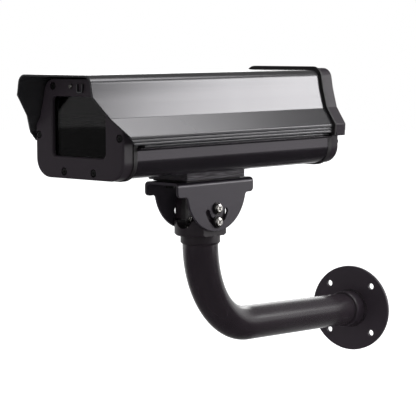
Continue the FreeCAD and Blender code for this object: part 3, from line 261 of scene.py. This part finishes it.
# Rubber: moulded frames between the shells and their caps, seal strips, washers and gland seals,
# held by the screws that pull the caps on. It is matt and black, so each frame reads as a thin
# dark line between two coated pieces.
def moulded_coat(name, colour, other, roughness, grain_mm, depth_mm, metallic=0.0, edge_mm=0.4, gloss=0.5):
    """Surface of a moulded, cast or coated piece, with the peel of its skin."""
    material, tree, shader, place = start_material(name)
    peel = add_node(tree, "TexNoise", {"Scale": 1000.0 / grain_mm, "Detail": 3.0}, {"Vector": place})
    cloud = add_node(tree, "TexNoise", {"Scale": 14.0, "Detail": 4.0}, {"Vector": place})
    mix = add_node(tree, "Mix", {"data_type": "RGBA", 6: linear(colour), 7: linear(other)},
                   {0: cloud.outputs[0]})
    rough = add_node(tree, "MapRange", {"From Min": 0.3, "From Max": 0.7,
                                        "To Min": roughness - 0.03, "To Max": roughness + 0.04},
                     {"Value": cloud.outputs[0]})
    bump = add_node(tree, "Bump", {"Strength": 0.5, "Distance": depth_mm / 1000.0},
                    {"Height": peel.outputs[0], "Normal": soft_edges(tree, edge_mm)})
    tree.links.new(mix.outputs[2], shader.inputs["Base Color"])
    tree.links.new(rough.outputs[0], shader.inputs["Roughness"])
    tree.links.new(bump.outputs[0], shader.inputs["Normal"])
    shader.inputs["Metallic"].default_value = metallic
    shader.inputs["Specular IOR Level"].default_value = gloss
    return material


rubber = moulded_coat("black_moulded_rubber", "#1d181b", "#221d20", roughness=0.6, grain_mm=0.5,
                      depth_mm=0.03)
dress(rubber, "front_gasket", "window_gasket", "side_seals", "lid_rear_gasket", "tray_rear_gasket",
      "closing_washers", "gland_plugs", "yoke_pad")


# Rear caps: two moulded metal dishes with a satin coat, one on the lid and one on the tray, each
# held by four screws. The coat is duller than the extrusions', so the shells end in a dark rim.
rear_cap_coat = moulded_coat("satin_coated_rear_caps", "#261f26", "#2b242b", roughness=0.42,
                             grain_mm=0.8, depth_mm=0.02, gloss=0.17)
dress(rear_cap_coat, "lid_rear_cap", "tray_rear_cap")


# Tray: the lower aluminium extrusion, screwed down on the block, with the hinge groove along its
# near edge. Its coat is the lid's and as smooth, in a darker colour that is painted shade on the
# lower shell: a soft sheen on black.
dress(extruded_coat("satin_coated_aluminium_tray", "#2d292e", "#322e33", roughness=0.20), "tray")


# Front cap: one moulding with the window's opening, screwed to the tray's end over a rubber
# frame. Its low gloss leaves the face nearly black, with a soft light along the rounded edges.
front_cap_coat = moulded_coat("satin_coated_front_cap", "#2a252a", "#2f292e", roughness=0.36,
                              grain_mm=0.8, depth_mm=0.02, gloss=0.28)
dress(front_cap_coat, "front_cap")


# Window: a flat pane of clear glass behind the front cap, pressed on its seal by a sheet frame.
# It is smooth and faintly smoked, so it mirrors the dim room and the inside shows dark.
material, tree, shader, place = start_material("clear_window_glass")
shader.inputs["Base Color"].default_value = linear("#d2cfd2")
shader.inputs["Roughness"].default_value = 0.02
shader.inputs["IOR"].default_value = 1.5
shader.inputs["Transmission Weight"].default_value = 1.0
dress(material, "window_glass")


# Inner sheet pieces: window frame, camera plate and the clip under the hood, cut from aluminium
# sheet and screwed on. Their mill finish is the one pale metal among the dark coats.
mill_finish = moulded_coat("mill_finish_aluminium_sheet", "#8f9092", "#999a9c", roughness=0.38,
                           grain_mm=0.6, depth_mm=0.02, metallic=1.0)
dress(mill_finish, "window_frame", "camera_plate", "hood_clip")


# Yoke: steel sheet folded into two slotted cheeks, under the aluminium block. Its powder coat is
# lighter and glossier than the casting's, and its rounded edges draw the cheeks and slots.
yoke_coat = moulded_coat("powder_coated_steel_yoke", "#353037", "#3a353c", roughness=0.34,
                         grain_mm=0.9, depth_mm=0.04, metallic=0.3, edge_mm=1.1)
dress(yoke_coat, "yoke")


# Block: a machined aluminium spacer between yoke and tray, brushed lengthwise and dark anodised.
# Four screws run down through it from the tray into the yoke. The brush leaves fine pale streaks
# on a dark ground.
def brushed_coat(name, colour, streak, roughness):
    """Dark anodised face with the brush's long streaks, which break its gloss into fine lines."""
    material, tree, shader, place = start_material(name)
    across, along = 900.0, 45.0
    lines = add_node(tree, "Mapping", {"Scale": (across, along, across)}, {"Vector": place})
    brush = add_node(tree, "TexNoise", {"Scale": 1.0, "Detail": 4.0}, {"Vector": lines.outputs[0]})
    tone = add_node(tree, "MapRange", {"From Min": 0.42, "From Max": 0.68}, {"Value": brush.outputs[0]})
    mix = add_node(tree, "Mix", {"data_type": "RGBA", 6: linear(colour), 7: linear(streak)},
                   {0: tone.outputs[0]})
    bump = add_node(tree, "Bump", {"Strength": 0.35, "Distance": 0.00006},
                    {"Height": brush.outputs[0], "Normal": soft_edges(tree, 0.4)})
    tree.links.new(mix.outputs[2], shader.inputs["Base Color"])
    tree.links.new(bump.outputs[0], shader.inputs["Normal"])
    shader.inputs["Roughness"].default_value = roughness
    shader.inputs["Metallic"].default_value = 0.6
    return material


dress(brushed_coat("dark_brushed_block", "#221f23", "#565257", roughness=0.36), "adaptor_block")


# Head: an aluminium casting with two lugs, turned on the arm's end and clamped by grub screws.
# The coat follows its coarse skin, so it is duller than the yoke's cheeks beside it.
cast_coat = moulded_coat("coated_casting", "#231d22", "#282126", roughness=0.42, grain_mm=1.2,
                         depth_mm=0.08, edge_mm=0.8, gloss=0.4)
dress(cast_coat, "head_casting")


# Arm: bent steel tube and round wall plate, welded and powder coated together. The tube's coat is
# glossy enough for long bands of light, the plate's is dull. The weld's beads run round the
# sleeve where the tube enters it and where it stands on the plate.
arm_coat = moulded_coat("powder_coated_steel_arm", "#252024", "#2a2429", roughness=0.20,
                        grain_mm=1.0, depth_mm=0.008)
dress(arm_coat, "arm_pipe")
flange_coat = moulded_coat("powder_coated_steel_flange", "#302830", "#342c33", roughness=0.45,
                           grain_mm=1.0, depth_mm=0.05, edge_mm=0.6)
dress(flange_coat, "wall_flange")


def weld_bead(shape, centre, facing, ring, bead, ripples):
    """Adds a round bead about an axis, swelling a little at each ripple of the weld."""
    swell = 0.10
    steps_a_ripple = 4
    loop = bmesh.new()
    bmesh.ops.create_circle(loop, segments=8, radius=bead)
    bmesh.ops.rotate(loop, matrix=Matrix.Rotation(math.pi / 2, 3, "X"), verts=loop.verts)
    bmesh.ops.translate(loop, vec=(ring, 0, 0), verts=loop.verts)
    bmesh.ops.spin(loop, geom=loop.verts[:] + loop.edges[:], axis=(0, 0, 1), angle=2 * math.pi,
                   steps=ripples * steps_a_ripple, use_merge=True)
    bmesh.ops.remove_doubles(loop, verts=loop.verts, dist=bead / 100)
    for vert in loop.verts:
        turn = math.atan2(vert.co.y, vert.co.x)
        core = Vector((math.cos(turn), math.sin(turn), 0)) * ring
        vert.co = core + (vert.co - core) * (1 + swell * math.sin(ripples * turn))
    bmesh.ops.recalc_face_normals(loop, faces=loop.faces)
    bmesh.ops.transform(loop, matrix=facing.to_track_quat("Z", "Y").to_matrix().to_4x4(), verts=loop.verts)
    bmesh.ops.translate(loop, vec=centre, verts=loop.verts)
    part = bpy.data.meshes.new("bead")
    loop.to_mesh(part)
    loop.free()
    shape.from_mesh(part)
    bpy.data.meshes.remove(part)


arm_pan = math.radians(9.31)
arm_fall = math.radians(3.7)
plate_thickness = 0.005
sleeve_length = 0.020
sleeve_radius = 0.0224
tube_radius = 0.020
out_of_wall = Vector((math.sin(arm_pan), -math.cos(arm_pan), 0))
up_the_arm = out_of_wall * math.cos(arm_fall) + Vector((0, 0, math.sin(arm_fall)))
plate_front = out_of_wall * plate_thickness
shape = bmesh.new()
weld_bead(shape, plate_front + up_the_arm * sleeve_length, up_the_arm, ring=tube_radius + 0.0006,
          bead=0.0013, ripples=52)
weld_bead(shape, plate_front, out_of_wall, ring=sleeve_radius + 0.0004, bead=0.0017, ripples=46)
beads = finished_piece(shape, "weld_beads", arm_coat)
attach(beads, "bracket")


# Glands: three moulded nylon cable glands in the tray's rear cap, drawn tight by locknuts inside,
# with grip ribs on their domed nuts. Nylon is a deep, dull black. The camera screw's washer is
# red vulcanised fibre, dry and slightly mottled.
nylon = moulded_coat("black_nylon", "#151415", "#1a191a", roughness=0.45, grain_mm=0.6, depth_mm=0.03)
dress(nylon, "gland_bodies", "gland_locknuts")
fibre = moulded_coat("red_vulcanised_fibre", "#6b2a20", "#7d3426", roughness=0.75, grain_mm=0.5,
                     depth_mm=0.05)
dress(fibre, "camera_washer")


def loose_parts(node, axis):
    """Each loose solid of a node: its middle, and its corners' stations and radii along the axis."""
    shape = bmesh.new()
    shape.from_mesh(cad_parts[node].data)
    one_micron = 1e-6
    bmesh.ops.remove_doubles(shape, verts=shape.verts, dist=one_micron)
    shape.verts.index_update()
    left = {vert.index for vert in shape.verts}
    across = [k for k in range(3) if k != axis]
    found = []
    for first in shape.verts:
        if first.index not in left:
            continue
        left.discard(first.index)
        island, front = [], [first]
        while front:
            vert = front.pop()
            island.append(vert.co.copy())
            for edge in vert.link_edges:
                other = edge.other_vert(vert)
                if other.index in left:
                    left.discard(other.index)
                    front.append(other)
        middle = Vector([(min(p[k] for p in island) + max(p[k] for p in island)) / 2 for k in range(3)])
        corners = [(p[axis] - middle[axis], math.hypot(*[p[k] - middle[k] for k in across]))
                   for p in island]
        found.append((middle, corners))
    shape.free()
    return found


def turned(outline, steps, closed):
    """Shape turned about Z from an outline of radii and stations."""
    shape = bmesh.new()
    points = [shape.verts.new((r, 0, s)) for r, s in outline]
    ends = points[1:] + points[:1] if closed else points[1:]
    edges = [shape.edges.new(pair) for pair in zip(points, ends)]
    bmesh.ops.spin(shape, geom=points + edges, axis=(0, 0, 1), angle=2 * math.pi, steps=steps,
                   use_merge=True)
    bmesh.ops.remove_doubles(shape, verts=shape.verts, dist=outline[-1][0] / 1000 + 1e-6)
    return shape


def set_down(total, shape, middle, axis, side):
    """Stands a turned shape along an axis at a place, and adds it to the rest."""
    bmesh.ops.recalc_face_normals(shape, faces=shape.faces)
    out = Vector([side if k == axis else 0 for k in range(3)])
    across = Vector([1 if k == (axis + 1) % 3 else 0 for k in range(3)])
    stand = Matrix((across, out.cross(across), out)).transposed().to_4x4()
    bmesh.ops.transform(shape, matrix=Matrix.Translation(middle) @ stand, verts=shape.verts)
    part = bpy.data.meshes.new("part")
    shape.to_mesh(part)
    shape.free()
    total.from_mesh(part)
    bpy.data.meshes.remove(part)


grip_ribs = 18
rib_depth = 0.05
steps_a_rib = 4
skirt_top = 0.2
dome = [(0.97, 0.34), (0.82, 0.76), (0.76, 0.94), (0.71, 1.0)]  # shares of radius and half length
total = bmesh.new()
for middle, corners in loose_parts("gland_nuts", axis=1):
    half = max(s for s, _ in corners)
    wide = max(r for _, r in corners)
    mouth = min(r for s, r in corners if s > 0.8 * half)
    thread = min(r for s, r in corners if s < -0.8 * half)
    step = max(s for s, r in corners if abs(r - thread) < 0.02 * thread)
    outline = [(thread, -half), (wide, -half), (wide, skirt_top * half)]
    outline += [(r * wide, s * half) for r, s in dome]
    outline += [(mouth, half), (mouth, step), (thread, step)]
    nut = turned(outline, steps=grip_ribs * steps_a_rib, closed=True)
    for vert in nut.verts:
        if math.hypot(vert.co.x, vert.co.y) > 0.9 * wide:
            turn = math.atan2(vert.co.y, vert.co.x)
            narrow = 1 - rib_depth * (0.5 + 0.5 * math.cos(grip_ribs * turn))
            vert.co = (vert.co.x * narrow, vert.co.y * narrow, vert.co.z)
    set_down(total, nut, middle, axis=1, side=1)
nuts = finished_piece(total, "ribbed_gland_nuts", nylon)
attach(nuts, "housing")
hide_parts("gland_nuts")


# Bright screws: nickel plated steel, on the yoke, under the hood and at the camera plate.
# They are the brightest points on the part, so each cross recess stands out dark in its head.
nickel = moulded_coat("nickel_plated_steel", "#d2cfcb", "#c2bfbc", roughness=0.20, grain_mm=0.4,
                      depth_mm=0.01, metallic=1.0, edge_mm=0.3)
dress(nickel, "plate_screws", "camera_screw", "adaptor_nuts")


def cut_cross(screw, head, high, top):
    """Sinks a tapered cross recess into the flat crown of a screw that stands along Z."""
    blade, arm, sink, taper = 0.11 * head, 0.50 * head, 0.45 * high, 0.7

    def crown():
        return [face for face in screw.faces if all(v.co.z > top - head / 1000 for v in face.verts)]

    for line in (-arm, -blade, blade, arm):
        for way in (Vector((1, 0, 0)), Vector((0, 1, 0))):
            faces = crown()
            rest = dict.fromkeys([e for f in faces for e in f.edges] + [v for f in faces for v in f.verts])
            bmesh.ops.bisect_plane(screw, geom=faces + list(rest), dist=head / 5000,
                                   plane_co=way * line, plane_no=way)
    cross = []
    for face in crown():
        spot = face.calc_center_median()
        near, far = sorted((abs(spot.x), abs(spot.y)))
        if near < blade and far < arm:
            cross.append(face)
    grown = bmesh.ops.extrude_face_region(screw, geom=cross)["geom"]
    bmesh.ops.delete(screw, geom=[f for f in cross if f.is_valid], context="FACES_ONLY")
    bottom = [v for v in grown if isinstance(v, bmesh.types.BMVert)]
    bmesh.ops.scale(screw, vec=(taper, taper, 1), verts=bottom)
    bmesh.ops.translate(screw, vec=(0, 0, -sink), verts=bottom)


def cross_headed(node, axis, material, body):
    """Pan-head screws with a cross recess in place of a node's plain ones."""
    pan = [(0.60, 0.0), (0.82, 0.14), (0.95, 0.40), (1.0, 0.72)]  # shares of radius and height
    rim = 0.97
    below_seat = 0.0003
    turn_apart = 0.65
    total = bmesh.new()
    for count, (middle, corners) in enumerate(loose_parts(node, axis)):
        head = max(r for _, r in corners)
        side = 1 if sum(s for s, r in corners if r > rim * head) > 0 else -1
        corners = [(side * s, r) for s, r in corners]
        top, tip = max(s for s, _ in corners), min(s for s, _ in corners)
        seat = min(s for s, r in corners if r > rim * head)
        shank = max([r for s, r in corners if s < seat - below_seat] or [head / 2])
        high = top - seat
        outline = [(0, top)] + [(r * head, top - fall * high) for r, fall in pan]
        outline += [(head, seat), (shank, seat), (shank, tip + 0.2 * shank), (0.8 * shank, tip), (0, tip)]
        screw = turned(outline, steps=32, closed=False)
        cut_cross(screw, head, high, top)
        bmesh.ops.rotate(screw, matrix=Matrix.Rotation(turn_apart * (count + 1), 3, "Z"), verts=screw.verts)
        set_down(total, screw, middle, axis, side)
    piece = finished_piece(total, "cross_headed_" + node, material)
    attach(piece, body)
    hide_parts(node)


cross_headed("pivot_bolts", 0, nickel, "head")
cross_headed("lock_bolts", 0, nickel, "head")
cross_headed("hood_clip_screw", 1, nickel, "housing")


# Dark screws: steel with a black oxide finish, in the caps, the lid, the window frame and the
# block. They hardly part from the coats round them, and show by a thin light on their rims.
oxide = moulded_coat("black_oxide_steel", "#2b2a2b", "#333233", roughness=0.36, grain_mm=0.4,
                     depth_mm=0.01, metallic=0.8, edge_mm=0.3)
dress(oxide, "grub_screws", "bolt_washers", "adaptor_screws")
cross_headed("closing_screws", 2, oxide, "housing")
cross_headed("front_cap_screws", 1, oxide, "housing")
cross_headed("window_frame_screws", 1, oxide, "housing")
cross_headed("tray_rear_screws", 1, oxide, "housing")
cross_headed("lid_rear_screws", 1, oxide, "lid")

bpy.context.scene.view_settings.view_transform = "Standard"
